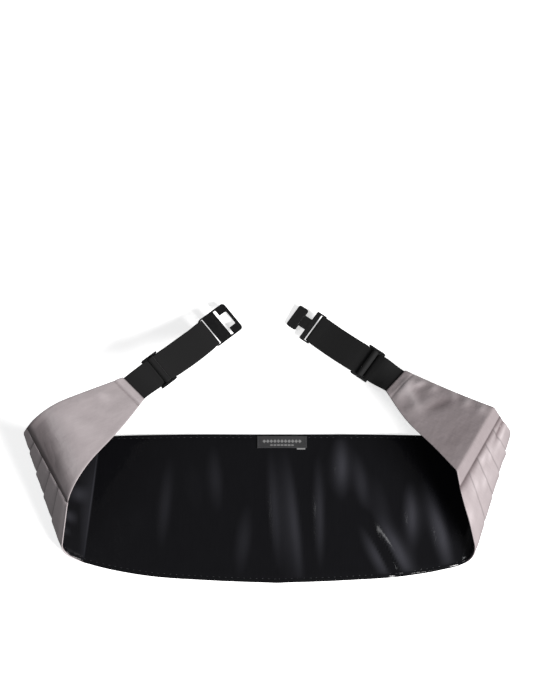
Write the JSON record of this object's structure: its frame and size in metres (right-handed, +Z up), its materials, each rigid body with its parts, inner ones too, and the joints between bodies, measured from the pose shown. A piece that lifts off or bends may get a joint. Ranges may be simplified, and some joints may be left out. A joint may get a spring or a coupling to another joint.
{
  "type": "cummerbund with elastic straps and clasp",
  "caption": "Pleated cummerbund lying lining up, its tapered ends curled inwards over the panel, with elastic straps, sliders and an open hook clasp.",
  "frame": {"origin": "middle of the underside of the bounding box, on the surface that the cummerbund lies on", "axes": "+X along the pleated panel towards the end with the hook, +Y towards the top edge and the clasp, +Z up"},
  "size_m": [0.405, 0.2418, 0.0687],
  "materials": {
    "front_satin": "silver-grey satin, pleated on the front",
    "lining_satin": "black lining satin",
    "label_weave": "black woven label with a few pale threads",
    "elastic_webbing": "black ribbed elastic",
    "black_plastic": "moulded black plastic"
  },
  "bodies": {
    "root": {"front_panel": "front_satin", "lining": "lining_satin", "end_piece_left": "front_satin", "end_piece_right": "front_satin", "label": "label_weave", "elastic_left": "elastic_webbing", "elastic_right": "elastic_webbing", "slider_left": "black_plastic", "slider_right": "black_plastic", "clasp_slot": "black_plastic", "clasp_hook": "black_plastic"}
  },
  "joints": []
}
